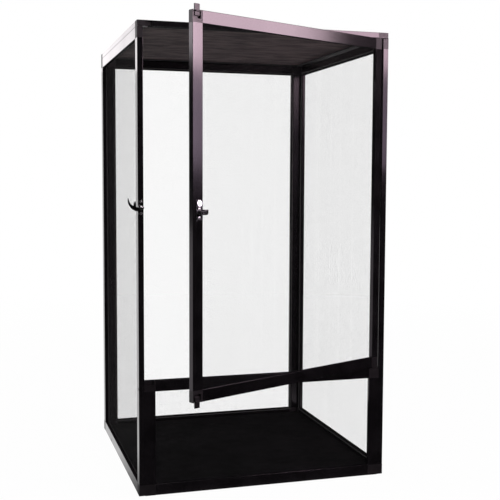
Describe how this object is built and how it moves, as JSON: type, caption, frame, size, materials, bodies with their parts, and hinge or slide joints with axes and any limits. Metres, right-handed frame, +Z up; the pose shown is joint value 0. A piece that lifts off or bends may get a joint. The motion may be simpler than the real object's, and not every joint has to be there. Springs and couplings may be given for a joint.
{
  "type": "reptile terrarium",
  "caption": "Tall screen terrarium: framed mesh walls and roof, solid floor board, fixed lower front panel, and a pivoted mesh door with sliding bolts and a crescent latch.",
  "frame": {"origin": "centre of the floor board's underside, the face that the cage stands on", "axes": "+Z up, the door faces -Y, +X to the right as seen from the front"},
  "size_m": [0.468, 0.6314, 0.8],
  "materials": {
    "frame_metal": "black anodised, satin",
    "block_plastic": "moulded black nylon, fine texture",
    "mesh_wire": "black coated woven wire",
    "spline_rubber": "matt black",
    "floor_plastic": "black rigid sheet, slightly grained",
    "screw_steel": "zinc plated",
    "screw_black": "black coated screw heads",
    "latch_chrome": "polished"
  },
  "bodies": {
    "cage": {"left_panel_rear_bar": "frame_metal", "left_panel_front_bar": "frame_metal", "left_panel_bottom_bar": "frame_metal", "left_panel_top_bar": "frame_metal", "left_panel_corners": "block_plastic", "left_panel_mesh": "mesh_wire", "left_panel_spline": "spline_rubber", "right_panel_front_bar": "frame_metal", "right_panel_rear_bar": "frame_metal", "right_panel_bottom_bar": "frame_metal", "right_panel_top_bar": "frame_metal", "right_panel_corners": "block_plastic", "right_panel_mesh": "mesh_wire", "right_panel_spline": "spline_rubber", "rear_panel_right_bar": "frame_metal", "rear_panel_left_bar": "frame_metal", "rear_panel_bottom_bar": "frame_metal", "rear_panel_top_bar": "frame_metal", "rear_panel_corners": "block_plastic", "rear_panel_mesh": "mesh_wire", "rear_panel_spline": "spline_rubber", "roof_panel_left_bar": "frame_metal", "roof_panel_right_bar": "frame_metal", "roof_panel_front_bar": "frame_metal", "roof_panel_rear_bar": "frame_metal", "roof_panel_corners": "block_plastic", "roof_panel_mesh": "mesh_wire", "roof_panel_spline": "spline_rubber", "front_panel_left_bar": "frame_metal", "front_panel_right_bar": "frame_metal", "front_panel_bottom_bar": "frame_metal", "front_panel_top_bar": "frame_metal", "front_panel_corners": "block_plastic", "front_panel_mesh": "mesh_wire", "front_panel_spline": "spline_rubber", "floor_board": "floor_plastic", "left_panel_screws": "screw_black", "right_panel_screws": "screw_black", "roof_panel_screws": "screw_black", "hinge_pins": "screw_steel", "hinge_washer": "spline_rubber", "latch_plate": "latch_chrome", "latch_screws": "screw_steel", "latch_rivet": "latch_chrome"},
    "door": {"door_latch_stile": "frame_metal", "door_hinge_stile": "frame_metal", "door_top_rail": "frame_metal", "door_bottom_rail": "frame_metal", "door_hinge_blocks": "block_plastic", "door_bolt_blocks": "block_plastic", "door_mesh": "mesh_wire", "door_spline": "spline_rubber", "door_keeper": "latch_chrome", "keeper_screws": "screw_steel"},
    "top_bolt": {"top_bolt": "block_plastic"},
    "bottom_bolt": {"bottom_bolt": "block_plastic"},
    "latch_lever": {"latch_lever": "latch_chrome"}
  },
  "joints": [
    {"name": "door_hinge", "type": "hinge", "parent": "cage", "child": "door", "pos_m": [0.20995, -0.22025, 0.5], "axis": [0, 0, 1], "range_deg": [-25, 70]},
    {"name": "top_bolt_slide", "type": "slide", "parent": "door", "child": "top_bolt", "axis": [0, 0, 1], "range_m": [-0.0094, 0]},
    {"name": "bottom_bolt_slide", "type": "slide", "parent": "door", "child": "bottom_bolt", "axis": [0, 0, -1], "range_m": [-0.0094, 0]},
    {"name": "latch_turn", "type": "hinge", "parent": "cage", "child": "latch_lever", "pos_m": [-0.22025, -0.229, 0.492], "axis": [0, 1, 0], "range_deg": [0, 180]}
  ]
}
